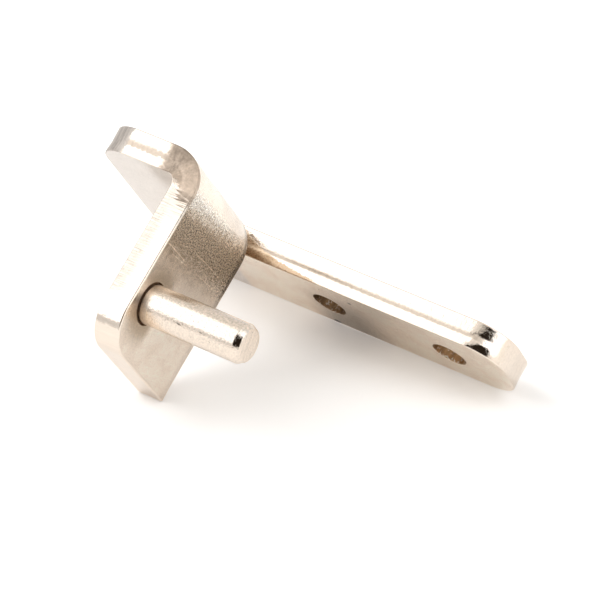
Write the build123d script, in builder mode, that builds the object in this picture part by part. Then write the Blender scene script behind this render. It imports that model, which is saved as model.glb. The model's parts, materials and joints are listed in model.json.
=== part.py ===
from build123d import *
import os
from math import atan2, degrees

# Door hinge of a fryer: one blanked and folded steel plate that carries a pressed pin.
# It is drawn as the plate is laid out. X runs along the arm and the pin, from the outer
# face of the folded tab. Y runs from the front edge back to the arm. Z points out of the
# mounting face, which is Z = 0. The last step lays the finished pieces down as the hinge
# comes to rest on a table, with Z up.

# Sheet (millimetres)
thickness = 4.55
corner_radius = 6.0
edge_break = 0.35

# Plate that bolts on
heel_length = 20.2
arm_length = 44.05
arm_width = 15.65
slot_width = 3.45
slot_relief = 1.0

# Folded tab
tab_width = 22.9
tab_drop = 32.2
bend_outer_radius = 7.0
bend_inner_radius = 1.65

# Screw holes
screw_hole_diameter = 5.7
first_hole = 10.7
hole_pitch = 22.4
screw_hole_break = 0.2

# Pin: its thicker shank is pressed into the tab, and the door turns on its journal
journal_diameter = 6.35
shank_diameter = 6.9
pin_reach = 18.15
pin_from_front = 5.15
pin_from_face = 23.15
nose_length = 1.0
nose_depth = 0.5
shank_recess = 0.7
shank_break = 0.3
relief_depth = 0.2
relief_reach = 0.2

os.makedirs("parts", exist_ok=True)

arm_front = tab_width + slot_width
plate_depth = arm_front + arm_width
arm_middle = arm_front + arm_width / 2
slot_end = -bend_outer_radius - slot_relief


def as_long_as(length):
    """A filter for edges of one length, to within a rounding error."""
    return lambda edge: abs(edge.length - length) < 1e-4


with BuildPart() as hinge_bracket:
    # Flat plate: heel and arm in one blank, with a round-ended slot beside the tab
    with BuildSketch():
        with BuildLine():
            heel_front = Line((slot_end, 0), (-heel_length, 0))
            heel_side = Line(heel_front @ 1, (-heel_length, plate_depth))
            back = Line(heel_side @ 1, (arm_length, plate_depth))
            arm_end = Line(back @ 1, (arm_length, arm_front))
            arm_side = Line(arm_end @ 1, (slot_end, arm_front))
            slot_round = ThreePointArc(
                arm_side @ 1, (slot_end - slot_width / 2, tab_width + slot_width / 2), (slot_end, tab_width)
            )
            Line(slot_round @ 1, heel_front @ 0)
        make_face()
    extrude(amount=-thickness)

    # Tab: its section is drawn in the front plane and runs back for the tab's width
    with BuildSketch(Plane.XZ):
        with BuildLine():
            top = Line((slot_end, 0), (-bend_outer_radius, 0))
            bend_outer = RadiusArc(top @ 1, (0, -bend_outer_radius), bend_outer_radius)
            outer_face = Line(bend_outer @ 1, (0, -tab_drop))
            lower_edge = Line(outer_face @ 1, (-thickness, -tab_drop))
            inner_face = Line(lower_edge @ 1, (-thickness, -thickness - bend_inner_radius))
            bend_inner = RadiusArc(
                inner_face @ 1, (-thickness - bend_inner_radius, -thickness), -bend_inner_radius
            )
            underside = Line(bend_inner @ 1, (slot_end, -thickness))
            Line(underside @ 1, top @ 0)
        make_face()
    extrude(amount=-tab_width)

    # Outer corners of the blank: both ends of the heel, both of the arm, the tab's front one
    plate_corners = hinge_bracket.edges().filter_by(Axis.Z).filter_by(as_long_as(thickness))
    heel_corners = plate_corners.filter_by_position(Axis.X, -heel_length, -heel_length)
    arm_corners = plate_corners.filter_by_position(Axis.X, arm_length, arm_length)
    tab_corner = hinge_bracket.edges().filter_by(Axis.X).group_by(Axis.Z)[0].sort_by(Axis.Y)[0]
    fillet([*heel_corners, *arm_corners, tab_corner], corner_radius)

    # Tumbled edge all round the outline, on both faces
    across_sheet = hinge_bracket.edges().filter_by(as_long_as(thickness))
    fold_lines = hinge_bracket.edges().filter_by(Axis.Y).filter_by(as_long_as(tab_width))
    fillet(hinge_bracket.edges() - across_sheet - fold_lines, edge_break)

    # Screw holes along the middle of the arm
    before = hinge_bracket.edges()
    with Locations((first_hole, arm_middle), (first_hole + hole_pitch, arm_middle)):
        Hole(screw_hole_diameter / 2, depth=thickness)
    screw_rims = (hinge_bracket.edges() - before).filter_by(GeomType.CIRCLE)
    chamfer(screw_rims, screw_hole_break)

    # Hole that the pin's shank is pressed into, in the tab
    with Locations(Location((0, pin_from_front, -pin_from_face), (0, 90, 0))):
        Hole(shank_diameter / 2, depth=thickness)

with BuildPart() as hinge_pin:
    # Turned in one piece. The shank is flush with the tab's inner face and stops short of
    # its outer face, which leaves a narrow ring round the journal at the mouth of the hole.
    pin_plane = Plane((0, pin_from_front, -pin_from_face), x_dir=(1, 0, 0), z_dir=(0, -1, 0))
    shank_radius = shank_diameter / 2
    journal_radius = journal_diameter / 2
    relief_radius = journal_radius - relief_depth
    with BuildSketch(pin_plane):
        with BuildLine():
            Polyline(
                (-thickness, 0),
                (-thickness, shank_radius - shank_break),
                (-thickness + shank_break, shank_radius),
                (-shank_recess, shank_radius),
                (-shank_recess, relief_radius),
                (relief_reach, relief_radius),
                (relief_reach, journal_radius),
                (pin_reach - nose_length, journal_radius),
                (pin_reach, journal_radius - nose_depth),
                (pin_reach, 0),
                close=True,
            )
        make_face()
    revolve(axis=Axis(pin_plane.origin, pin_plane.x_dir))

# At rest the hinge stands on the tab's back lower edge and on the plate's back edge
lean = degrees(atan2(plate_depth - tab_width, tab_drop - thickness))
laid_down = Location((0, 0, 0), (lean - 90, 0, 0))
box = hinge_bracket.part.moved(laid_down).bounding_box()
to_floor = Location((-box.center().X, -box.center().Y, -box.min.Z))
rest = to_floor * laid_down

hinge_bracket.part.move(rest)
hinge_pin.part.move(rest)

hinge_bracket.part.label = "hinge_bracket"
hinge_pin.part.label = "hinge_pin"
export_step(hinge_bracket.part, "parts/hinge_bracket.step")
export_step(hinge_pin.part, "parts/hinge_pin.step")
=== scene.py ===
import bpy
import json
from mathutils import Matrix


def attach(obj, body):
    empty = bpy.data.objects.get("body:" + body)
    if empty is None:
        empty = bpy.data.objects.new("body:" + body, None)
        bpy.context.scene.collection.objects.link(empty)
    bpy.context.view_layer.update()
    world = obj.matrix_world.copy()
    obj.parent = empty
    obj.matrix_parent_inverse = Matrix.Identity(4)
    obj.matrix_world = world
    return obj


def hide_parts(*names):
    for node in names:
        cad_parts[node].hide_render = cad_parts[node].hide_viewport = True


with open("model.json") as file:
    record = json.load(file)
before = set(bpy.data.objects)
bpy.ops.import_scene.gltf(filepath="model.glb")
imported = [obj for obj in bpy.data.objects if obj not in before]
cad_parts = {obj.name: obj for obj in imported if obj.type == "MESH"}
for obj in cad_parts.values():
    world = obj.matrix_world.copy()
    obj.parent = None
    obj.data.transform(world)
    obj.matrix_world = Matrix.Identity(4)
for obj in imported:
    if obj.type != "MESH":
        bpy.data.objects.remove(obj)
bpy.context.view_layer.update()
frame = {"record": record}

import json
import math

import bpy
import numpy as np
from mathutils import Matrix, Vector, noise
from mathutils.geometry import delaunay_2d_cdt

# Door hinge of a fryer: a blanked and folded plate, and the pin that is pressed into it.
# Sizes are in millimetres in the flat blank, and become metres in the row frame in to_row().
# In the blank, a runs along the arm and over the fold down the tab, and b runs back from the
# front edge. w runs through the sheet: it is 0 on the mounting face and the tab's outer face,
# and THICKNESS on the side that lies inside the fold.
MM = 0.001
THICKNESS = 4.55
CORNER_RADIUS = 6.0
HEEL_END = -20.2
ARM_END = 44.05
TAB_BACK = 22.9
SLOT_WIDTH = 3.45
ARM_FRONT = TAB_BACK + SLOT_WIDTH
ARM_BACK = ARM_FRONT + 15.65
TAB_DROP = 32.2
BEND_OUTER = 7.0
BEND_INNER = 1.65
SLOT_RELIEF = 1.0
SLOT_END = -BEND_OUTER - SLOT_RELIEF - SLOT_WIDTH / 2
SQUARE_CORNER = 0.3

# Screw holes, and the pin, whose place is (back from the front edge, out of the mounting face)
SCREW_RADIUS = 2.85
FIRST_HOLE = 10.7
HOLE_PITCH = 22.4
ARM_MIDDLE = (ARM_FRONT + ARM_BACK) / 2
SCREW_PLACES = ((FIRST_HOLE, ARM_MIDDLE), (FIRST_HOLE + HOLE_PITCH, ARM_MIDDLE))
PIN_PLACE = (5.15, -23.15)
PIN_RADIUS = 3.175
PIN_REACH = 18.15
SHANK_RADIUS = 3.45
SHANK_BREAK = 0.3
RING_DEPTH = 0.7
RELIEF_DEPTH = 0.2
RELIEF_REACH = 0.15
NOSE_LENGTH = 1.0
NOSE_DEPTH = 0.5

# Fold: the bend's length along the blank, the blank's end at the tab's lower edge, the pin in it
BEND_START = -BEND_OUTER
BEND_LENGTH = 7.4
BEND_END = BEND_START + BEND_LENGTH
TAB_END = BEND_END + TAB_DROP - BEND_OUTER
PIN_A = BEND_END - PIN_PLACE[1] - BEND_OUTER

# The plate leans: from plate axes (along, back, out of the mounting face) to the row frame
LEAN = math.atan2(ARM_BACK - TAB_BACK, TAB_DROP - THICKNESS)
TURN = Matrix.Rotation(LEAN - math.pi / 2, 3, "X")
MOUNTS = {mount["name"]: mount for mount in frame["record"]["mounts"]}
SCREW_MIDDLE = Vector((*SCREW_PLACES[0], -THICKNESS / 2)) * MM
SHIFT = Vector(MOUNTS["screw_hole_near"]["pos_m"]) - TURN @ SCREW_MIDDLE
TURN_ROWS = np.array(TURN)


def to_row(points):
    """Plate coordinates in millimetres to row coordinates in metres."""
    return (np.asarray(points) * MM) @ TURN_ROWS.T + np.array(SHIFT)


def turned(directions):
    """Plate directions to row directions."""
    return np.asarray(directions) @ TURN_ROWS.T


def smooth(low, high, x):
    """0 where x is low, 1 where it is high, with soft ends."""
    t = np.clip((np.asarray(x, float) - low) / (high - low), 0, 1)
    return t * t * (3 - 2 * t)


def fold(points):
    """Blank points (a, b, w) to plate points (x, y, z)."""
    a, b, w = np.asarray(points, float).T
    on_tab = (a > SLOT_END + SLOT_WIDTH / 2) & (b < TAB_BACK + SLOT_WIDTH / 2)
    turn = np.clip((a - BEND_START) / BEND_LENGTH, 0, 1) * math.pi / 2
    before = np.clip(a - BEND_START, None, 0)
    after = np.clip(a - BEND_END, 0, None)
    outer_x = -BEND_OUTER + BEND_OUTER * np.sin(turn) + before
    outer_z = -BEND_OUTER + BEND_OUTER * np.cos(turn) - after
    # The fold's two sides turn round different centres, which lie this far apart
    apart = BEND_OUTER - THICKNESS - BEND_INNER
    middle = -THICKNESS - BEND_INNER
    inner_x = middle + BEND_INNER * np.sin(turn) + before - apart * np.clip(-before, 0, 1)
    inner_z = middle + BEND_INNER * np.cos(turn) - after - apart * np.clip(after, 0, 1)
    share = w / THICKNESS
    x = np.where(on_tab, outer_x + (inner_x - outer_x) * share, a)
    z = np.where(on_tab, outer_z + (inner_z - outer_z) * share, -w)
    return np.stack([x, b, z], 1)


def corner_path(corners, step):
    """A closed outline with rounded corners, as points and directions into the metal.

    corners are (a, b, radius), in the order that keeps the metal on the right.
    """
    points, inward, stretches = [], [], []
    count = len(corners)
    for i, (a, b, radius) in enumerate(corners):
        here = Vector((a, b))
        come = (here - Vector(corners[i - 1][:2])).normalized()
        go = (Vector(corners[(i + 1) % count][:2]) - here).normalized()
        side = 1 if come.x * go.y - come.y * go.x < 0 else -1
        stretches.append((here - come * radius, here + go * radius, come, go, side, radius))
    for i, (start, end, come, go, side, radius) in enumerate(stretches):
        centre = start + go * radius
        turns = max(6, round(math.pi / 2 * radius / step))
        for k in range(turns + 1):
            angle = math.pi / 2 * k / turns
            out = -go * math.cos(angle) + come * math.sin(angle)
            points.append(centre + out * radius)
            inward.append(-out * side)
        following = stretches[(i + 1) % count][0]
        parts = max(1, round((following - end).length / step))
        for k in range(1, parts):
            points.append(end.lerp(following, k / parts))
            inward.append(Vector((go.y, -go.x)))
    keep = [k for k in range(len(points)) if (points[k] - points[k - 1]).length > 1e-6]
    return np.array([points[k] for k in keep]), np.array([inward[k] for k in keep])


def circle_path(centre, radius, count):
    """A hole's rim, as points and directions into the metal."""
    turn = np.arange(count) / count * 2 * math.pi
    out = np.stack([np.cos(turn), np.sin(turn)], 1)
    return np.array(centre) + out * radius, out


# Sheared edge: a rolled rim, a burnished band, a step where the metal tore, and a small burr side
ROLL_WIDTH = 0.36
ROLL_DEPTH = 0.28
BURR_SIDE_BREAK = 0.16
RING_TURNS = 8
WALL_RINGS = 36
TEAR_AT = 0.58
TEAR_WANDER = 0.02
TEAR_SPAN = 0.16
TEAR_STEP = 0.11
BURNISH_SLOPE = 0.04
TORN_SLOPE = 0.085

# The tab's edge lacks the first share of the wall's forms, and a hole's wall keeps the second
TAB_CALMER = 0.75
HOLE_SHARE = 0.25

# Worn front corner of the arm: how far it is rounded, from which share of the sheet on
CORNER_ROUND = 0.27
CORNER_ROUND_FROM = 0.68
CORNER_TEAR_RISE = 0.12

# Broad faces: spacing of their points, and how far these stay from the outline
FACE_GRID = 1.1
FACE_START = 0.4
CLEAR_OF_RIM = 0.45
BEND_ROWS = 30
PATH_STEP = 0.3
SCREW_PARTS = 72
PIN_PARTS = 96

# Folding squeezes the metal out past the edges inside the fold, and draws it in outside
BULGE = 0.26
NECK = 0.5
EDGE_REACH = 2.5

# Share of the outline's edge forms that a hole's edge has
SCREW_EDGE = 0.6
PIN_EDGE = 0.16

# Numbers of the bracket's materials
BROAD_FACE, OUTER_EDGE, HOLE_WALL = 0, 1, 2


def bulged(points):
    """The fold squeezes its inner side out past both edges of the tab and draws the outer side in."""
    points = np.asarray(points, float).copy()
    a, b, w = points.T
    along = np.clip((a - BEND_START + 1) / (BEND_LENGTH + 2), 0, 1)
    in_fold = np.sin(along * math.pi) ** 2 * (b < TAB_BACK + 0.1)
    push = in_fold * (-NECK + (BULGE + NECK) * (w / THICKNESS))
    points[:, 1] = b - push * np.exp(-b / EDGE_REACH) + push * np.exp(-(TAB_BACK - b) / EDGE_REACH)
    return points


def worn_corner(a, b):
    """1 in the middle of the arm's front corner, 0 away from it."""
    side = a - (ARM_END - CORNER_RADIUS)
    front = ARM_FRONT + CORNER_RADIUS - b
    turn = np.degrees(np.arctan2(side, front))
    near = (side > 0) & (front > 0)
    return near * smooth(2, 9, turn) * smooth(75, 45, turn)


def edge_rings(share_of_edge):
    """Rings over an edge as (inset, w), where None leaves the inset to the wall's own profile."""
    roll = ROLL_WIDTH * share_of_edge
    depth = ROLL_DEPTH * share_of_edge
    burr = BURR_SIDE_BREAK * share_of_edge
    floor = THICKNESS - burr
    turns = [math.pi / 2 * k / RING_TURNS for k in range(RING_TURNS + 1)]
    rings = [(roll * (1 - math.sin(turn)), depth * (1 - math.cos(turn))) for turn in turns]
    rings += [(None, depth + (floor - depth) * k / WALL_RINGS) for k in range(1, WALL_RINGS)]
    rings += [(-burr * (1 - math.cos(turn)), floor + burr * math.sin(turn)) for turn in turns]
    return rings


def tear_height(a, b):
    """Height of the torn step: faint by the slot, at the arm's end and on the heel's side."""
    on_arm = (b > TAB_BACK + 1) & (b < ARM_FRONT + 1)
    faint = np.where(on_arm, smooth(0, 14, a), 1) * smooth(ARM_END - 1.5, ARM_END - 6.5, a)
    return TEAR_STEP * faint * (0.1 + 0.9 * smooth(-17.5, -14.8, a))


def sheared_edge(path, inward, share_of_edge):
    """Rings of blank points from the mounting face, over the edge, to the other face.

    share_of_edge is 1 on the outline, and less on the holes, whose edges are sharper.
    """
    outline = share_of_edge == 1
    length = np.linalg.norm(np.roll(path, -1, 0) - path, axis=1)
    along = np.concatenate([[0], np.cumsum(length)[:-1]])
    a, b = path.T
    on_tab = smooth(BEND_START - 1, BEND_END, a) * (b < TAB_BACK + 0.1)
    amount = (1 - TAB_CALMER * on_tab) * (1 if outline else HOLE_SHARE)
    wander = np.array([noise.noise(Vector((s * 0.35, 3.1, 0))) for s in along])
    corner = worn_corner(a, b) * outline
    tear = TEAR_AT + TEAR_WANDER * wander - CORNER_TEAR_RISE * corner
    step = tear_height(a, b)
    # The forms are smaller near the tab's square corner, where they would cross
    from_square = np.linalg.norm(path - np.array((TAB_END, TAB_BACK)), axis=1)
    room = 0.35 + 0.65 * smooth(0.4, 2.5, from_square)
    result = []
    for inset, w in edge_rings(share_of_edge):
        share = w / THICKNESS
        past = np.clip((share - tear) / TEAR_SPAN + 0.7, 0, 1)
        leant_in = BURNISH_SLOPE * np.minimum(w, tear * THICKNESS)
        leant_out = TORN_SLOPE * np.clip(w - tear * THICKNESS, 0, None)
        wall = np.clip(amount * (leant_in - leant_out + step * past ** 2), 0, None)
        round_off = np.clip((share - CORNER_ROUND_FROM) / (1 - CORNER_ROUND_FROM), 0, 1) ** 2
        wall = wall + corner * CORNER_ROUND * round_off
        if inset is None:
            ring_inset = wall
        elif w < THICKNESS / 2:
            ring_inset = inset + amount * BURNISH_SLOPE * w
        else:
            ring_inset = wall - inset
        place = path + inward * (ring_inset * room)[:, None]
        result.append(np.column_stack([place, np.full(len(path), w)]))
    return np.array(result), along


def inside(points, polygon):
    """Which points lie inside a closed polygon."""
    x, y = points.T
    hit = np.zeros(len(points), bool)
    for (x1, y1), (x2, y2) in zip(polygon, np.roll(polygon, -1, 0)):
        if y1 != y2:
            hit ^= ((y1 > y) != (y2 > y)) & (x < (x2 - x1) * (y - y1) / (y2 - y1) + x1)
    return hit


def grid_points(rims):
    """Points to spread inside a broad face, in close rows over the fold."""
    rows_a = np.arange(HEEL_END, ARM_END, FACE_GRID)
    rows_a = rows_a[(rows_a < BEND_START) | (rows_a > BEND_END)]
    rows_a = np.concatenate([rows_a, BEND_START + BEND_LENGTH * np.arange(BEND_ROWS + 1) / BEND_ROWS])
    rows_b = np.arange(FACE_START, ARM_BACK, FACE_GRID)
    points = np.stack(np.meshgrid(rows_a, rows_b, indexing="ij"), -1).reshape(-1, 2)
    points = points[inside(points, rims[0])]
    for rim in rims:
        gap = np.linalg.norm(points[:, None] - rim[None, ::2], axis=2).min(1)
        points = points[gap > CLEAR_OF_RIM]
    for rim in rims[1:]:
        points = points[~inside(points, rim)]
    return points


def fill(rims):
    """Triangles of a broad face between its outline and its holes: points, then triples."""
    points = np.concatenate([*rims, grid_points(rims)])
    edges, start = [], 0
    for rim in rims:
        edges += [(start + i, start + (i + 1) % len(rim)) for i in range(len(rim))]
        start += len(rim)
    made = delaunay_2d_cdt([Vector(point) for point in points], edges, [], 1, 1e-7)
    assert len(made[0]) == len(points), "the face's outline crosses itself"
    source = [ids[0] for ids in made[3]]
    triples = np.array([[source[i] for i in face] for face in made[2]])
    middle = points[triples].mean(1)
    keep = np.ones(len(triples), bool)
    for rim in rims[1:]:
        keep &= ~inside(middle, rim)
    return points, triples[keep]


def crossed(along, across):
    """Unit normals from two sets of tangents."""
    normal = np.cross(along, across)
    return normal / np.linalg.norm(normal, axis=-1, keepdims=True)


def face_normals(blank, sign):
    """Normals of the folded broad faces."""
    reach = 0.01
    here = np.asarray(blank, float)
    steps = [fold(bulged(here + step)) - fold(bulged(here - step))
             for step in ((reach, 0, 0), (0, reach, 0))]
    return crossed(*steps) * sign


def ring_normals(rings):
    """Normals of a sheared edge, equal to the broad faces' at its first and last rings."""
    count, size = rings.shape[:2]
    plate = fold(bulged(rings.reshape(-1, 3))).reshape(count, size, 3)
    along = np.roll(plate, -1, 1) - np.roll(plate, 1, 1)
    across = np.gradient(plate, axis=0)
    normals = crossed(along, across)
    normals[0] = face_normals(rings[0], 1)
    normals[-1] = face_normals(rings[-1], -1)
    return normals.reshape(-1, 3)


def between_rings(ids):
    """Quads between rings of point numbers, each ring closed."""
    after = np.roll(ids, -1, 1)
    return np.stack([ids[:-1], after[:-1], after[1:], ids[1:]], -1).reshape(-1, 4)


class Skin:
    """Blank points with their normals and places along a rim, and faces with their materials."""

    def __init__(self):
        self.blank, self.normals, self.along = [], [], []
        self.faces, self.materials = [], []
        self.count = 0

    def add_points(self, blank, normals, along):
        """Add points and return their numbers."""
        self.blank.append(blank)
        self.normals.append(normals)
        self.along.append(along)
        self.count += len(blank)
        return np.arange(self.count - len(blank), self.count)

    def add_faces(self, faces, material):
        """Add faces that share one material."""
        self.faces += faces.tolist()
        self.materials += [material] * len(faces)


def add_edge(skin, path, inward, share_of_edge):
    """Add the sheared edge round one loop, and return its two rims as (places, numbers)."""
    rings, along = sheared_edge(path, inward, share_of_edge)
    count = len(path)
    normals = ring_normals(rings)
    hole = share_of_edge < 1
    if hole:
        normals[count:-count] *= -1
    ids = skin.add_points(rings.reshape(-1, 3), normals, np.tile(along, len(rings)))
    ids = ids.reshape(len(rings), count)
    quads = between_rings(ids)
    if hole:
        skin.add_faces(quads[:, ::-1], HOLE_WALL)
    else:
        skin.add_faces(quads, OUTER_EDGE)
    return (rings[0, :, :2], ids[0]), (rings[-1, :, :2], ids[-1])


def add_broad_face(skin, rims, w, sign):
    """Add a broad face between its rims: sign is 1 on the mounting face and -1 on the other."""
    points, triples = fill([places for places, ids in rims])
    numbers = [ids for places, ids in rims]
    extra = points[sum(len(ids) for ids in numbers):]
    blank = np.column_stack([extra, np.full(len(extra), w)])
    numbers.append(skin.add_points(blank, face_normals(blank, sign), np.zeros(len(extra))))
    skin.add_faces(np.concatenate(numbers)[triples][:, ::sign], BROAD_FACE)


def bracket_loops():
    """The blank's outline and holes: points, directions into the metal, share of the edge forms."""
    corners = (
        (HEEL_END, 0, CORNER_RADIUS),
        (HEEL_END, ARM_BACK, CORNER_RADIUS),
        (ARM_END, ARM_BACK, CORNER_RADIUS),
        (ARM_END, ARM_FRONT, CORNER_RADIUS),
        (SLOT_END, ARM_FRONT, SLOT_WIDTH / 2),
        (SLOT_END, TAB_BACK, SLOT_WIDTH / 2),
        (TAB_END, TAB_BACK, SQUARE_CORNER),
        (TAB_END, 0, CORNER_RADIUS),
    )
    loops = [(*corner_path(corners, PATH_STEP), 1)]
    loops += [(*circle_path(place, SCREW_RADIUS, SCREW_PARTS), SCREW_EDGE) for place in SCREW_PLACES]
    loops.append((*circle_path((PIN_A, PIN_PLACE[0]), SHANK_RADIUS, PIN_PARTS), PIN_EDGE))
    return loops


def new_piece(name, plate, faces, blank):
    """A smooth object from plate points, whose points remember their places in the blank."""
    mesh = bpy.data.meshes.new(name)
    mesh.from_pydata(to_row(plate).tolist(), [], faces)
    mesh.polygons.foreach_set("use_smooth", [True] * len(faces))
    layer = mesh.attributes.new("blank", "FLOAT_VECTOR", "POINT")
    layer.data.foreach_set("vector", blank.astype(np.float32).ravel())
    piece = bpy.data.objects.new(name, mesh)
    bpy.context.scene.collection.objects.link(piece)
    return piece


def make_bracket():
    """The folded plate: a sheared edge round each loop, and a broad face on either side."""
    skin = Skin()
    rims = [add_edge(skin, *loop) for loop in bracket_loops()]
    add_broad_face(skin, [first for first, last in rims], 0, 1)
    add_broad_face(skin, [last for first, last in rims], THICKNESS, -1)
    blank = np.concatenate(skin.blank)
    piece = new_piece("folded_plate", fold(bulged(blank)), skin.faces, blank)
    mesh = piece.data
    mesh.polygons.foreach_set("material_index", skin.materials)
    layer = mesh.attributes.new("rim", "FLOAT", "POINT")
    layer.data.foreach_set("value", np.concatenate(skin.along).astype(np.float32))
    mesh.update()
    mesh.normals_split_custom_set_from_vertices(turned(np.concatenate(skin.normals)).tolist())
    return piece


# The pin's roundings, and how finely it is turned
ROOT_AT = 0.3
ROOT_ROUND = 0.1
NOSE_ROUND = 0.4
NOSE_ROUND_AT = 0.1
END_ROUND = 0.22
END_ROUND_DROP = 0.16
END_HOLLOW = 0.6
SHANK_CLEARANCE = 0.002
PIN_SIDES = 160
PIN_ROWS = 24


def revolve(name, profile, count):
    """A turned piece round the pin's axis, from (x, radius) points in plate millimetres."""
    turn = np.arange(count) / count * 2 * math.pi
    y, z = PIN_PLACE
    rings = [np.column_stack([np.full(count, x), y + radius * np.cos(turn), z + radius * np.sin(turn)])
             for x, radius in profile]
    points = np.concatenate(rings)
    ids = np.arange(len(points)).reshape(len(rings), count)
    faces = between_rings(ids).tolist() + [ids[0, ::-1].tolist(), ids[-1].tolist()]
    return new_piece(name, points, faces, points)


def arc(x, r, radius, start, end, steps):
    """Points of an arc in an (x, radius) profile, angles in degrees from +x."""
    angles = [math.radians(start + (end - start) * k / steps) for k in range(steps + 1)]
    return [(x + radius * math.cos(angle), r + radius * math.sin(angle)) for angle in angles]


def make_pin():
    """The pin: shank, ring-shaped recess, journal and nose, each with its small roundings."""
    slope = 90 - math.degrees(math.atan2(NOSE_DEPTH, NOSE_LENGTH))
    shank = SHANK_RADIUS - SHANK_CLEARANCE
    neck = PIN_RADIUS - RELIEF_DEPTH
    top = PIN_REACH - NOSE_LENGTH
    tip = PIN_RADIUS - NOSE_DEPTH
    profile = [(-THICKNESS, END_HOLLOW), (-THICKNESS, SHANK_RADIUS - SHANK_BREAK),
               (-THICKNESS + SHANK_BREAK, shank), (-RING_DEPTH, shank), (-RING_DEPTH, neck),
               (RELIEF_REACH, neck)]
    profile += arc(ROOT_AT, PIN_RADIUS - ROOT_ROUND, ROOT_ROUND, 180, 90, 4)
    profile += [(ROOT_AT + (top - NOSE_ROUND * 2) * k / PIN_ROWS, PIN_RADIUS) for k in range(1, PIN_ROWS)]
    profile += arc(top - NOSE_ROUND_AT, PIN_RADIUS - NOSE_ROUND, NOSE_ROUND, 90, slope, 6)
    profile += arc(PIN_REACH - END_ROUND, tip - END_ROUND_DROP, END_ROUND, slope, 0, 6)
    profile += [(PIN_REACH, tip * k) for k in (0.8, 0.6, 0.4, 0.2, 0.05)]
    return revolve("turned_pin", profile, PIN_SIDES)


class Graph:
    """Short calls for making shader nodes in one node tree."""

    def __init__(self, tree):
        self.nodes, self.links = tree.nodes, tree.links

    def put(self, value, socket):
        """A number, a colour or another node's output goes into a socket."""
        if isinstance(value, bpy.types.NodeSocket):
            self.links.new(value, socket)
        elif isinstance(value, (tuple, list)) and len(socket.default_value) == 4:
            socket.default_value = (*value, 1)
        else:
            socket.default_value = value

    def math(self, operation, *values):
        """One Math node."""
        node = self.nodes.new("ShaderNodeMath")
        node.operation = operation
        for value, socket in zip(values, node.inputs):
            self.put(value, socket)
        return node.outputs[0]

    def vector(self, operation, *values):
        """One Vector Math node."""
        node = self.nodes.new("ShaderNodeVectorMath")
        node.operation = operation
        for value, socket in zip(values, node.inputs):
            self.put(value, socket)
        return node.outputs["Value" if operation == "DOT_PRODUCT" else "Vector"]

    def step(self, value, first, last, start=0.0, end=1.0):
        """start on the side of first, end on the side of last, and a soft change between them."""
        node = self.nodes.new("ShaderNodeMapRange")
        node.interpolation_type = "SMOOTHSTEP"
        for socket, number in zip(node.inputs, (value, first, last, start, end)):
            self.put(number, socket)
        return node.outputs["Result"]

    def band(self, value, rises, full, fades, gone):
        """1 between full and fades, and 0 before rises and after gone."""
        return self.product(self.step(value, rises, full), self.step(value, gone, fades))

    def mix(self, factor, first, second):
        """The first colour where the factor is 0, and the second where it is 1."""
        node = self.nodes.new("ShaderNodeMix")
        node.data_type = "RGBA"
        for value, socket in zip((factor, first, second), (node.inputs[0], node.inputs[6], node.inputs[7])):
            self.put(value, socket)
        return node.outputs[2]

    def noise(self, place, scale, detail=2.0, rough=0.5):
        """Noise from 0 to 1: scale is in cells to a millimetre where place is in the blank."""
        node = self.nodes.new("ShaderNodeTexNoise")
        self.put(place, node.inputs["Vector"])
        node.inputs["Scale"].default_value = scale
        node.inputs["Detail"].default_value = detail
        node.inputs["Roughness"].default_value = rough
        return node.outputs[0]

    def attribute(self, name, output="Vector"):
        """A value that the mesh's points carry."""
        node = self.nodes.new("ShaderNodeAttribute")
        node.attribute_name = name
        return node.outputs[output]

    def split(self, vector):
        """A vector's three numbers."""
        node = self.nodes.new("ShaderNodeSeparateXYZ")
        self.put(vector, node.inputs[0])
        return tuple(node.outputs)

    def join(self, *values):
        """A vector from three numbers."""
        node = self.nodes.new("ShaderNodeCombineXYZ")
        for value, socket in zip(values, node.inputs):
            self.put(value, socket)
        return node.outputs[0]

    def chain(self, operation, values):
        """One operation over all values, in their order."""
        result = values[0]
        for value in values[1:]:
            result = self.math(operation, result, value)
        return result

    def total(self, *values):
        return self.chain("ADD", values)

    def product(self, *values):
        return self.chain("MULTIPLY", values)

    def most(self, *values):
        return self.chain("MAXIMUM", values)

    def weighted(self, start, *parts):
        """A start value plus each part times its weight."""
        return self.total(start, *[self.product(value, weight) for value, weight in parts])

    def centred(self, value):
        """Noise moved to lie round 0."""
        return self.math("SUBTRACT", value, 0.5)

    def opposite(self, mask):
        """1 where the mask is 0."""
        return self.math("SUBTRACT", 1.0, mask)

    def length(self, vector):
        return self.math("SQRT", self.vector("DOT_PRODUCT", vector, vector))

    def tint(self, colour, factor):
        """A colour made lighter or darker by a factor that varies."""
        node = self.nodes.new("ShaderNodeVectorMath")
        node.operation = "SCALE"
        self.put(colour, node.inputs[0])
        self.put(factor, node.inputs["Scale"])
        return node.outputs[0]

    def finish(self, colour, roughness, height):
        """Colour, roughness and a height in millimetres go to the metal shader."""
        shader = self.nodes["Principled BSDF"]
        self.put(colour, shader.inputs["Base Color"])
        shader.inputs["Metallic"].default_value = 1
        self.put(roughness, shader.inputs["Roughness"])
        bump = self.nodes.new("ShaderNodeBump")
        bump.inputs["Distance"].default_value = MM
        self.put(height, bump.inputs["Height"])
        self.links.new(bump.outputs["Normal"], shader.inputs["Normal"])


# Nickel plate, its stains, and tones that stand for painted shade, in linear colour
NICKEL = (0.86, 0.76, 0.66)
STAIN_AND_SHADE_TONE = (0.66, 0.55, 0.45)
PAINTED_SHADE_BROWN = (0.49, 0.38, 0.265)
PUNCHED = (0.60, 0.44, 0.30)
GOLDEN = (0.86, 0.68, 0.49)
SLOT_SHADE_TAN = (0.42, 0.29, 0.18)
TANNED = (0.68, 0.55, 0.44)
COOL_SHADE_TONE = (0.67, 0.625, 0.585)
HOLE_SHADE_BROWN = (0.36, 0.22, 0.11)
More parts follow.
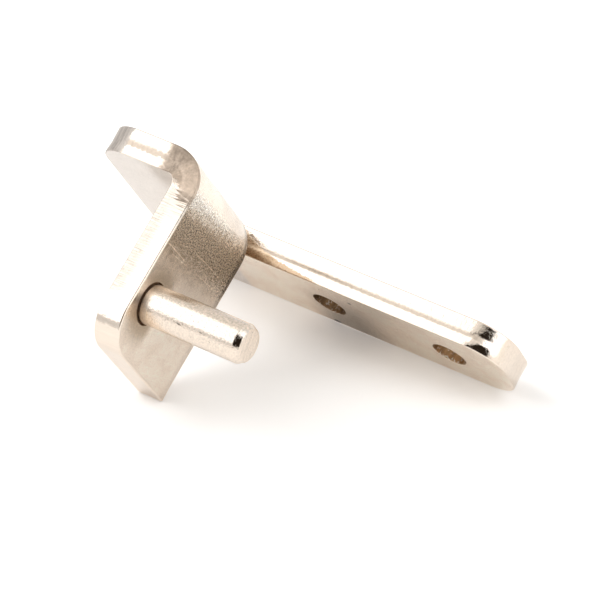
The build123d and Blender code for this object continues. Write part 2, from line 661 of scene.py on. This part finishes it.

# Zones along the blank, in millimetres: where each one rises, is full, fades and is gone
# All but the grain zone place painted light: shade under the fold and its darker core, shade on the bend's
# outer face, and a mirrored shadow on the arm's inner face.
FOLD_SHADE_ZONE = (-0.4, 2.2, 5.5, 10.5)
FOLD_SHADE_CORE_ZONE = (1.2, 3.4, 6.0, 8.6)
BEND_SHADE_ZONE = (-9.0, -6.0, -1.0, 0.5)
GRAIN_ZONE = (-2.4, 0.8, 4.0, 10.0)
SHADOW_REFLECTION_ZONE = (4.8, 10.5, 14.0, 22.5)
FOLD_SHADE_SLANT = 0.13
FOLD_SHADE_MIDDLE = 9.0

# Long scratches on the tab's outer face: start, end, half width
SCRATCHES = (
    ((7.95, 0.5), (7.82, 7.4), 0.10),
    ((8.6, 3.6), (8.1, 8.4), 0.06),
    ((5.55, 9.4), (5.3, 12.6), 0.13),
    ((5.3, 12.0), (5.05, 22.0), 0.10),
    ((3.4, 11.0), (4.3, 17.5), 0.06),
    ((7.6, 13.0), (7.1, 19.5), 0.05),
    ((6.4, 4.5), (5.7, 7.2), 0.06),
    ((14.6, 9.6), (12.2, 15.8), 0.05),
)

# Thin scratches all over: direction in radians, seed, how rare they are
THIN_SCRATCHES = ((0.5, 3.0, 0.70), (1.9, 11.0, 0.71), (2.7, 23.0, 0.72))

# Dark nicks on the arm's face: place and radius
NICKS = (
    ((9.5, 41.5), 0.75),
    ((16.2, 29.4), 0.42),
)

# Small dents on the pin: start and end along it and round it in millimetres, half width
PIN_DENTS = (
    ((7.1, -8.12), (7.6, -8.02), 0.13),
    ((11.4, -8.18), (11.6, -8.16), 0.11),
)


def new_metal(name):
    """A material with nodes, and the graph to fill it with."""
    material = bpy.data.materials.new(name)
    material.use_nodes = True
    return material, Graph(material.node_tree)


def line_mask(graph, place, start, end, half_width):
    """1 on a straight scratch in the blank's plane."""
    first, last = Vector((*start, 0)), Vector((*end, 0))
    run = last - first
    along = run.normalized()
    across = Vector((-along.y, along.x, 0))
    offset = graph.vector("SUBTRACT", place, first)
    side = graph.math("ABSOLUTE", graph.vector("DOT_PRODUCT", offset, across))
    reach = graph.vector("DOT_PRODUCT", offset, along)
    return graph.product(graph.step(side, half_width, half_width * 0.3),
                         graph.step(reach, -0.6, 0.4),
                         graph.step(reach, run.length + 0.6, run.length - 0.4))


def nick_mask(graph, place, centre, radius):
    """1 on a small round mark in the blank's plane."""
    offset = graph.vector("SUBTRACT", place, Vector((*centre, 0)))
    return graph.step(graph.length(offset), radius, radius * 0.6)


def thin_scratches(graph, place, angle, seed, rare):
    """Thin streaks in one direction."""
    along = Vector((math.cos(angle), math.sin(angle), 0))
    across = Vector((-along.y, along.x, 0))
    u = graph.vector("DOT_PRODUCT", place, along * 0.09)
    v = graph.vector("DOT_PRODUCT", place, across * 2.6)
    streak = graph.noise(graph.join(u, v, seed), 1.0, 0.0)
    return graph.step(streak, rare, rare + 0.03)


def through_sheet(graph, rim, w, density, drift, seed, detail, rough):
    """Noise in streaks that run through the sheet, packed along the rim."""
    return graph.noise(graph.join(graph.product(rim, density), graph.product(w, drift), seed),
                       1.0, detail, rough)


def fold_shade_masks(graph, b, uneven, on_tab):
    """The strip of painted shade under the fold, a dark reflection of the arm, which starts further up at
    the slot's side, and its darker core.
    """
    slanted = graph.weighted(uneven, (graph.total(b, -FOLD_SHADE_MIDDLE), FOLD_SHADE_SLANT))
    fold_shade = graph.product(graph.band(slanted, *FOLD_SHADE_ZONE), on_tab)
    fold_shade_core = graph.product(graph.band(slanted, *FOLD_SHADE_CORE_ZONE), on_tab)
    return fold_shade, fold_shade_core


def pin_masks(graph, a, b, on_tab):
    """The tab round the pin: a dull ring, and painted shade above and below the pin."""
    offset = graph.vector("SUBTRACT", graph.join(a, b, 0.0), Vector((PIN_A, PIN_PLACE[0], 0)))
    from_pin = graph.length(offset)
    across = graph.math("ABSOLUTE", graph.total(a, -PIN_A))
    dull = graph.product(graph.step(from_pin, 7.0, 3.6), on_tab)
    painted_shade_by_pin = graph.product(graph.step(from_pin, 8.0, 3.6), graph.step(across, 0.6, 3.4),
                          graph.step(b, 9.5, 7.5), on_tab)
    return dull, painted_shade_by_pin


def scratch_mask(graph, place, outer_side):
    """The long scratches, broken up along their length."""
    flat = graph.vector("MULTIPLY", place, (1, 1, 0))
    lines = graph.most(*[line_mask(graph, flat, *line) for line in SCRATCHES])
    return graph.product(lines, outer_side, graph.step(graph.noise(place, 1.3), 0.35, 0.5, 0.7, 1.0))


def satin_face():
    """Broad faces: mottled plate with grain, orange peel, brush lines, stains and scratches, and painted
    shade, light and glints.
    """
    material, graph = new_metal("satin_face")
    place = graph.attribute("blank")
    a, b, w = graph.split(place)
    cloud = graph.step(graph.noise(place, 0.22, 3.0, 0.6), 0.42, 0.66)
    mottle = graph.noise(place, 1.1, 4.0, 0.65)
    grain = graph.step(graph.noise(place, 4.0, 3.0, 0.75), 0.34, 0.66)
    fine = graph.noise(place, 7.0, 1.0, 0.6)
    peel = graph.noise(place, 1.5, 1.0, 0.5)
    brushed = graph.noise(graph.vector("MULTIPLY", place, (0.25, 7.0, 1.0)), 1.0, 1.0)
    speck = graph.step(graph.noise(place, 2.4, 2.0, 0.7), 0.70, 0.76)
    # Painted glints: light specks that only lighten the colour.
    painted_glint = graph.step(graph.noise(graph.vector("ADD", place, (31, 7, 0)), 2.8, 2.0, 0.7), 0.68, 0.73)
    uneven = graph.weighted(a, (graph.centred(mottle), 4.5))

    # Zones of the plate
    outer_side = graph.step(w, 2.0, 1.0)
    inner_side = graph.step(w, 3.5, 4.2)
    on_tab = graph.product(graph.step(b, TAB_BACK + 1, TAB_BACK), outer_side)
    # Painted shade: the bend's outer face is darker.
    bend_shade = graph.product(graph.band(a, *BEND_SHADE_ZONE), graph.step(b, 8.0, 15.0), on_tab)
    # Painted shade under the fold: a dark reflection of the arm, with a darker core.
    fold_shade, fold_shade_core = fold_shade_masks(graph, b, uneven, on_tab)
    grainy = graph.product(graph.band(a, *GRAIN_ZONE), on_tab)
    # Painted light: the lower tab is lighter, where it mirrors the open table.
    lower_tab_sheen = graph.product(graph.step(a, 12.0, 17.0), on_tab)
    # Painted shade: a darker strip along the tab's edge by the slot.
    slot_shade = graph.product(graph.step(b, TAB_BACK - 2.0, TAB_BACK - 0.8),
                               graph.step(a, 12.0, 7.0, 0.4, 1.0), on_tab)
    # Painted shade: the heel's inner face is painted darker and cooler than the plate.
    shaded_heel_inside = graph.product(graph.step(a, -6.5, -8.0), inner_side)
    # Painted light and shade on the arm's inner face: a little lighter overall, and darker where it would
    # mirror the shadow that the tab and pin cast on the table.
    on_arm = graph.product(inner_side, graph.step(b, 25.5, 27.0))
    painted_shadow_reflection = graph.product(graph.band(a, *SHADOW_REFLECTION_ZONE), graph.step(b, 26.5, 36.5), on_arm)

    # Stains and marks, with painted shade by the pin and painted glints
    dull_ring, painted_pin_shade = pin_masks(graph, a, b, on_tab)
    smear = graph.product(graph.step(uneven, -12.2, -8.4), graph.step(a, -6.0, -7.0),
                          inner_side, graph.step(b, 12.0, 3.0))
    painted_glint_on_tab = graph.product(painted_glint, on_tab)
    deep = scratch_mask(graph, place, outer_side)
    flat = graph.join(a, b, 0.0)
    nicks = graph.product(graph.most(*[nick_mask(graph, flat, *nick) for nick in NICKS]), inner_side)
    thin = graph.most(*[thin_scratches(graph, place, *kind) for kind in THIN_SCRATCHES])

    shade = graph.weighted(
        0.96, (bend_shade, -0.18), (lower_tab_sheen, 0.06), (mottle, 0.28), (speck, -0.22),
        (graph.centred(grain), graph.step(grainy, 0.0, 1.0, 0.24, 1.45)),
        (fold_shade, -0.28), (fold_shade_core, -0.13), (painted_pin_shade, -0.26), (slot_shade, -0.38), (painted_glint_on_tab, 0.40),
        (smear, -0.40), (nicks, -0.70), (on_arm, 0.08), (painted_shadow_reflection, -0.50), (deep, 0.50), (thin, 0.06))
    colour = graph.mix(graph.product(cloud, 0.35), NICKEL, STAIN_AND_SHADE_TONE)
    # Painted shade: brown under the fold, where the tab mirrors the arm's dark underside, and next to the
    # pin.
    colour = graph.mix(graph.product(graph.most(fold_shade, painted_pin_shade), 0.85), colour, PAINTED_SHADE_BROWN)
    colour = graph.mix(shaded_heel_inside, colour, COOL_SHADE_TONE)
    colour = graph.mix(graph.product(smear, 0.7), colour, STAIN_AND_SHADE_TONE)
    roughness = graph.weighted(0.13, (mottle, 0.12), (cloud, 0.07), (fold_shade, 0.05), (speck, 0.2),
                               (dull_ring, 0.17))
    height = graph.weighted(graph.product(grain, graph.step(grainy, 0.0, 1.0, 0.006, 0.034)),
                            (fine, 0.003), (peel, 0.020), (brushed, 0.0012), (thin, -0.003), (deep, -0.02))
    graph.finish(graph.tint(colour, shade), roughness, height)
    return material


def fold_patch(graph, a, w, ragged, teeth, by_tab):
    """The fold's matt patch: it ends in a slant, in teeth that follow the marks through the sheet."""
    slant = graph.product(graph.math("POWER", graph.math("DIVIDE", w, THICKNESS), 3.0), 5.2)
    first = graph.weighted(a, (ragged, 1.6))
    last = graph.total(a, slant, graph.product(graph.centred(teeth), 5.5))
    return graph.product(graph.step(first, -8.4, -7.3), graph.step(last, 2.3, 1.1), by_tab)


def torn_line(graph, a, b, w, ragged, on_tab):
    """The matt line at which the burnished band ends, a little wider along the front edge."""
    middle = graph.total(w, graph.product(ragged, graph.step(a, -6.0, -9.0, 0.5, 1.3)))
    from_front = graph.step(b, 1.0, 2.0, 0.35, 0.0)
    return graph.product(graph.step(graph.total(middle, from_front), 2.05, 2.6),
                         graph.step(middle, 3.1, 2.85), graph.opposite(on_tab),
                         graph.step(a, ARM_END - 3.0, ARM_END - 6.0))


def torn_beside_slot(graph, a, b, w, ragged):
    """The torn edge beside the slot: nearly the whole sheet at the slot's end, less along the arm."""
    fading = graph.product(graph.math("EXPONENT", graph.product(graph.total(a, 4.2), -1 / 6)), 3.5)
    return graph.product(
        graph.step(graph.total(w, fading, ragged), 4.3, 4.5),
        graph.step(b, TAB_BACK + 0.8, TAB_BACK + 1.4),
        graph.step(b, ARM_FRONT + 1.0, ARM_FRONT + 0.6),
        graph.step(graph.weighted(a, (ragged, 6.0)), 11.5, 9.0),
        graph.step(a, -10.0, -8.6))


def sheared_metal():
    """Edges of the blank: burnished and torn bands, the fold's matt patch, streaks on the tab, and painted
    shade by the slot, at the arm's end and at the heel's corner.
    """
    material, graph = new_metal("bright_edge")
    place = graph.attribute("blank")
    rim = graph.attribute("rim", "Fac")
    a, b, w = graph.split(place)
    ragged = graph.centred(graph.noise(place, 1.4, 4.0, 0.65))
    fine = graph.noise(place, 3.2, 3.0, 0.65)
    striped = through_sheet(graph, rim, w, 2.6, 0.22, 0.0, 3.0, 0.6)
    teeth = through_sheet(graph, rim, w, 4.5, 0.3, 5.0, 1.0, 0.5)
    lines = graph.centred(striped)

    # Zones of the edge
    by_tab = graph.step(b, TAB_BACK + 0.6, TAB_BACK + 0.3)
    on_tab = graph.product(graph.step(a, BEND_END - 0.6, BEND_END + 0.4), by_tab)
    matt = fold_patch(graph, a, w, ragged, teeth, by_tab)
    matt_start = graph.product(matt, graph.step(a, -3.5, -5.5))
    tear = torn_line(graph, a, b, w, ragged, on_tab)
    torn = torn_beside_slot(graph, a, b, w, ragged)
    # Painted reflection: the arm's edge beside the slot is dark brown near the arm's root, on the inner
    # side of the sheet, where it mirrors the tab and the shaded slot.
    slot_end_shade = graph.product(graph.step(graph.weighted(w, (ragged, 0.9)), 3.0, 3.5),
                               graph.step(graph.weighted(a, (ragged, 5.0)), 3.4, 1.6))
    # Painted shade: the heel's corner is a cooler grey, with streaks through the sheet and more roughness.
    heel_corner = graph.product(graph.step(graph.weighted(a, (ragged, 2.4)), -14.6, -15.6),
                                graph.step(b, 6.6, 5.2))
    # Painted shade: the arm's end is a little darker, with fine grain.
    arm_end_shade = graph.product(graph.step(a, ARM_END - 1.6, ARM_END - 0.4),
                            graph.step(b, ARM_FRONT + 1.0, ARM_FRONT + 2.5))
    rough_part = graph.most(matt, tear, graph.product(torn, 0.8), heel_corner)
    streaked = graph.product(on_tab, graph.most(graph.step(w, 1.0, 3.2), graph.step(a, 8.0, 2.5)),
                             graph.step(a, 19.5, 17.0))
    marked = graph.product(graph.step(striped, 0.52, 0.62), streaked)

    shade = graph.weighted(
        1.0, (rough_part, -0.18), (lines, 0.20), (torn, 0.12),
        (graph.product(graph.centred(fine), rough_part), 0.35), (graph.product(ragged, matt), 0.7),
        (matt_start, -0.27), (matt, -0.05),
        (heel_corner, graph.weighted(-0.02, (lines, 0.9))),
        (arm_end_shade, graph.weighted(-0.09, (graph.centred(fine), 0.3))),
        (streaked, graph.weighted(-0.28, (graph.centred(teeth), 0.65))), (marked, -0.13))
    colour = graph.mix(graph.product(rough_part, 0.85), NICKEL, STAIN_AND_SHADE_TONE)
    colour = graph.mix(matt, colour, TANNED)
    colour = graph.mix(graph.product(heel_corner, 0.8), colour, COOL_SHADE_TONE)
    colour = graph.mix(torn, colour, graph.mix(graph.step(w, 2.6, 3.6), GOLDEN, PUNCHED))
    colour = graph.mix(graph.product(torn, slot_end_shade), colour, SLOT_SHADE_TAN)
    roughness = graph.weighted(0.07, (rough_part, 0.22), (fine, 0.06), (heel_corner, 0.12))
    height = graph.total(graph.product(striped, 0.010),
                         graph.product(ragged, graph.step(a, ARM_END - 9.0, ARM_END - 7.0, 0.03, 0.05)),
                         graph.product(fine, graph.step(rough_part, 0.0, 1.0, 0.004, 0.022)))
    graph.finish(graph.tint(colour, shade), roughness, height)
    return material


def hole_metal():
    """Walls of the holes: marks of the punch through the sheet, painted dark brown as shade, the far hole
    painted lighter, with glints painted in colour over bumps.
    """
    material, graph = new_metal("hole_wall")
    place = graph.attribute("blank")
    rim = graph.attribute("rim", "Fac")
    a, _, w = graph.split(place)
    marks = through_sheet(graph, rim, w, 2.2, 0.35, 0.0, 3.0, 0.6)
    torn = graph.step(graph.total(w, graph.noise(place, 1.2, 3.0)), 2.9, 3.4)
    fine = graph.noise(place, 4.0, 3.0, 0.6)
    painted_glint = graph.step(graph.noise(place, 1.9, 3.0, 0.7), 0.57, 0.62)
    # Painted shade: the walls are dark brown, as shade and reflections inside the holes make them.
    colour = graph.mix(graph.product(fine, 0.5), HOLE_SHADE_BROWN, PAINTED_SHADE_BROWN)
    colour = graph.mix(painted_glint, colour, NICKEL)
    # Painted light: the far hole is lighter than the near one.
    shade = graph.product(graph.step(marks, 0.3, 0.7, 0.62, 1.10), graph.step(a, 16.0, 28.0, 0.9, 1.4))
    roughness = graph.weighted(0.12, (torn, 0.22))
    height = graph.weighted(graph.product(marks, 0.06), (painted_glint, 0.35),
                            (fine, graph.step(torn, 0.0, 1.0, 0.02, 0.10)))
    graph.finish(graph.tint(colour, shade), roughness, height)
    return material


def turned_metal():
    """The pin: fine grain, pits, turning marks round it and cutting marks over its end, and a painted
    reflection at its root.
    """
    material, graph = new_metal("bright_pin")
    place = graph.attribute("blank")
    x, y, z = graph.split(place)
    grain = graph.step(graph.noise(place, 3.2, 3.0, 0.75), 0.32, 0.68)
    mottle = graph.noise(place, 0.9, 4.0, 0.65)
    peel = graph.noise(place, 1.6, 1.0)
    pits = graph.step(graph.noise(place, 2.1, 3.0, 0.7), 0.64, 0.70)
    turns = graph.noise(graph.join(graph.product(x, 6.0), 0.0, 0.0), 1.0, 2.0)
    cuts = graph.noise(graph.join(0.0, graph.weighted(graph.product(y, 4.2), (z, 1.6)),
                                  graph.product(graph.math("SUBTRACT", z, y), 0.2)), 1.0, 2.0)
    angle = graph.math("ARCTAN2", graph.total(z, -PIN_PLACE[1]), graph.total(y, -PIN_PLACE[0]))
    unrolled = graph.join(x, graph.product(angle, PIN_RADIUS), 0.0)
    dents = graph.most(*[line_mask(graph, unrolled, *line) for line in PIN_DENTS])
    end = graph.step(x, PIN_REACH - 0.06, PIN_REACH - 0.02)
    nose_start = PIN_REACH - NOSE_LENGTH
    nose = graph.product(graph.step(x, nose_start - 0.05, nose_start + 0.05), graph.opposite(end))
    root = graph.step(x, 1.9, 0.9)

    shade = graph.weighted(0.88, (mottle, 0.22), (pits, -0.25), (graph.centred(grain), 0.24),
                           (dents, -0.85), (graph.product(graph.centred(cuts), end), 0.6))
    colour = graph.mix(graph.product(mottle, 0.35), NICKEL, STAIN_AND_SHADE_TONE)
    # Painted reflection: the pin's root is tinted brown where it mirrors the tab.
    colour = graph.mix(graph.step(graph.total(x, mottle), 2.2, 0.9), colour, STAIN_AND_SHADE_TONE)
    roughness = graph.weighted(0.11, (mottle, 0.08), (pits, 0.2), (nose, -0.06), (root, 0.24))
    height = graph.weighted(graph.product(grain, 0.009), (peel, 0.016), (dents, -0.14), (pits, -0.02),
                            (turns, 0.003), (graph.product(cuts, end), 0.02))
    graph.finish(graph.tint(colour, shade), roughness, height)
    return material


bracket = make_bracket()
bracket.data.materials.append(satin_face())
bracket.data.materials.append(sheared_metal())
bracket.data.materials.append(hole_metal())
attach(bracket, "root")
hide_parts("hinge_bracket")
pin = make_pin()
pin.data.materials.append(turned_metal())
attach(pin, "root")
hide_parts("hinge_pin")

# Camera at the photograph's place: metres, degrees, and the photograph's side in pixels
CAMERA_PLACE = Vector((0.26770, -0.38123, 0.33876))
CAMERA_AZIMUTH = 34.657
CAMERA_ELEVATION = 34.660
CAMERA_ROLL = 1.204
FOCAL_PIXELS = 3742.4
PHOTO_PIXELS = 600

# Studio light: two softboxes, a dim room and the dark of the camera's side, all in the world.
# Directions point from the hinge, and sizes are tangents of the half angles.
KEY = {"toward": (-0.6148, -0.4068, 0.6863), "along": (0, 0.882, 0.471), "half": (0.66, 0.25)}
KEY_LIGHT = (2.0, 2.0, 2.0)
FILL = {"toward": (0.72, 0.09, 0.69), "along": (0, 1, 0), "half": (0.80, 0.51)}
FILL_LIGHT = (1.88, 1.93, 1.98)
FILL_FADES = (0.20, 0.45)
FILL_LEFT = 0.45
SOFT_EDGE = 0.02
ROOM_LEFT = (0.78, 0.76, 0.75)
ROOM_RIGHT = (1.18, 1.13, 1.07)
ROOM_TOP = (0.90, 0.87, 0.83)
DARK_TOWARD = (0.425, -0.707, 0.569)
DARK_SPREAD = (32.0, 34.0)
DARK_LIGHT = (0.024, 0.017, 0.012)
BACKDROP = (1.0, 1.0, 1.0)

# Table: a lamp that lights it more, its corners in metres, how it looks and how it lights
TABLE_LAMP = 1.1
TABLE_LAMP_ANGLE = 38
FLOOR_NEAR = (-0.4, -0.6)
FLOOR_FAR = (2.0, 2.0)
OPEN_FLOOR = (1.0, 0.985, 0.97)
LIT_FLOOR = (0.80, 0.80, 0.80)
FLOOR_GLOW = 0.125


def make_camera():
    """The photograph's camera."""
    data = bpy.data.cameras.new("camera")
    data.sensor_width = 36
    data.lens = data.sensor_width * FOCAL_PIXELS / PHOTO_PIXELS
    data.clip_start = 0.01
    data.clip_end = 10
    camera = bpy.data.objects.new("camera", data)
    bpy.context.scene.collection.objects.link(camera)
    camera.matrix_world = (Matrix.Translation(CAMERA_PLACE)
                           @ Matrix.Rotation(math.radians(CAMERA_AZIMUTH), 4, "Z")
                           @ Matrix.Rotation(math.radians(90 - CAMERA_ELEVATION), 4, "X")
                           @ Matrix.Rotation(math.radians(CAMERA_ROLL), 4, "Z"))
    bpy.context.scene.camera = camera


def softbox(graph, direction, toward, along, half):
    """1 inside a rectangle of directions, 0 outside it."""
    normal = Vector(toward).normalized()
    first = Vector(along)
    first = (first - normal * first.dot(normal)).normalized()
    second = normal.cross(first)
    depth = graph.vector("DOT_PRODUCT", direction, normal)
    mask = graph.step(depth, 0.05, 0.1)
    for axis, size in zip((first, second), half):
        reach = graph.math("DIVIDE", graph.vector("DOT_PRODUCT", direction, axis), depth)
        reach = graph.math("ABSOLUTE", reach)
        mask = graph.product(mask, graph.step(reach, size + SOFT_EDGE, size - SOFT_EDGE))
    return mask


def make_world():
    """The room's light, and plain white where the camera looks past the table."""
    world = bpy.data.worlds.new("studio")
    world.use_nodes = True
    bpy.context.scene.world = world
    graph = Graph(world.node_tree)
    direction = graph.nodes.new("ShaderNodeTexCoord").outputs["Generated"]
    x, y, z = graph.split(direction)
    light = graph.mix(graph.step(x, -0.5, 0.9), ROOM_LEFT, ROOM_RIGHT)
    light = graph.mix(graph.step(z, 0.25, 0.8), light, ROOM_TOP)
    light = graph.mix(softbox(graph, direction, **KEY), light, KEY_LIGHT)
    fading = graph.tint(FILL_LIGHT, graph.step(y, *FILL_FADES, 1.0, FILL_LEFT))
    light = graph.mix(softbox(graph, direction, **FILL), light, fading)
    near_camera = graph.vector("DOT_PRODUCT", direction, Vector(DARK_TOWARD).normalized())
    inner, outer = (math.cos(math.radians(angle)) for angle in DARK_SPREAD)
    light = graph.mix(graph.step(near_camera, outer, inner), light, DARK_LIGHT)
    rays = graph.nodes.new("ShaderNodeLightPath").outputs
    light = graph.mix(rays["Is Camera Ray"], light, BACKDROP)
    graph.put(light, graph.nodes["Background"].inputs["Color"])


def make_table_lamp():
    """More light from the key's side on the table alone: mirrors don't see this lamp."""
    lamp = bpy.data.lights.new("table_lamp", "SUN")
    lamp.energy = TABLE_LAMP
    lamp.angle = math.radians(TABLE_LAMP_ANGLE)
    sun = bpy.data.objects.new("table_lamp", lamp)
    sun.rotation_euler = Vector(KEY["toward"]).to_track_quat("Z", "Y").to_euler()
    sun.visible_glossy = False
    bpy.context.scene.collection.objects.link(sun)


def make_floor():
    """A white table: the camera and mirrors see it pale, and it keeps the hinge's shadow."""
    (left, near), (right, far) = FLOOR_NEAR, FLOOR_FAR
    mesh = bpy.data.meshes.new("floor")
    corners = [(left, near, 0), (right, near, 0), (right, far, 0), (left, far, 0)]
    mesh.from_pydata(corners, [], [(0, 1, 2, 3)])
    floor = bpy.data.objects.new("floor", mesh)
    bpy.context.scene.collection.objects.link(floor)
    material, graph = new_metal("white_table")
    rays = graph.nodes.new("ShaderNodeLightPath").outputs
    seen = graph.most(rays["Is Camera Ray"], rays["Is Glossy Ray"])
    shader = graph.nodes["Principled BSDF"]
    graph.put(graph.mix(seen, LIT_FLOOR, OPEN_FLOOR), shader.inputs["Base Color"])
    shader.inputs["Emission Color"].default_value = (1, 1, 1, 1)
    graph.put(graph.product(rays["Is Camera Ray"], FLOOR_GLOW), shader.inputs["Emission Strength"])
    shader.inputs["Roughness"].default_value = 0.9
    shader.inputs["Specular IOR Level"].default_value = 0.1
    mesh.materials.append(material)


make_camera()
make_world()
make_table_lamp()
make_floor()

bpy.context.scene.view_settings.view_transform = "Standard"
